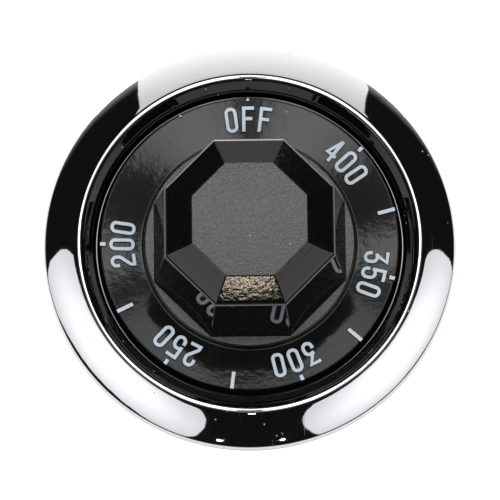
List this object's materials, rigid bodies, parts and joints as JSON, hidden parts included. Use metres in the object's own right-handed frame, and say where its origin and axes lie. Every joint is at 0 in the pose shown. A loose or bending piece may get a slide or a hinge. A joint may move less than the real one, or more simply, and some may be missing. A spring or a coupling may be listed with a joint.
{
  "type": "griddle control knob with bezel",
  "caption": "Black moulded temperature knob with an eight-sided grip on a dished numbered dial, turning in a chromed pressed bezel ring.",
  "frame": {"origin": "on the shaft's axis, in the plane of the front panel that the bezel lies on", "axes": "+Z out of the panel along the shaft, +Y towards the OFF mark, +X to the right as the dial is read"},
  "size_m": [0.0762, 0.0762, 0.0243],
  "materials": {
    "phenolic": "gloss black moulding",
    "spring_steel": "tempered spring strip",
    "chrome": "bright chrome plate"
  },
  "bodies": {
    "bezel_ring": {"bezel": "chrome"},
    "turning_knob": {"knob": "phenolic", "shaft_spring": "spring_steel"}
  },
  "joints": [
    {"name": "knob_turn", "type": "hinge", "parent": "bezel_ring", "child": "turning_knob", "pos_m": [0, 0, 0], "axis": [0, 0, 1], "range_deg": [-310, 0]}
  ]
}
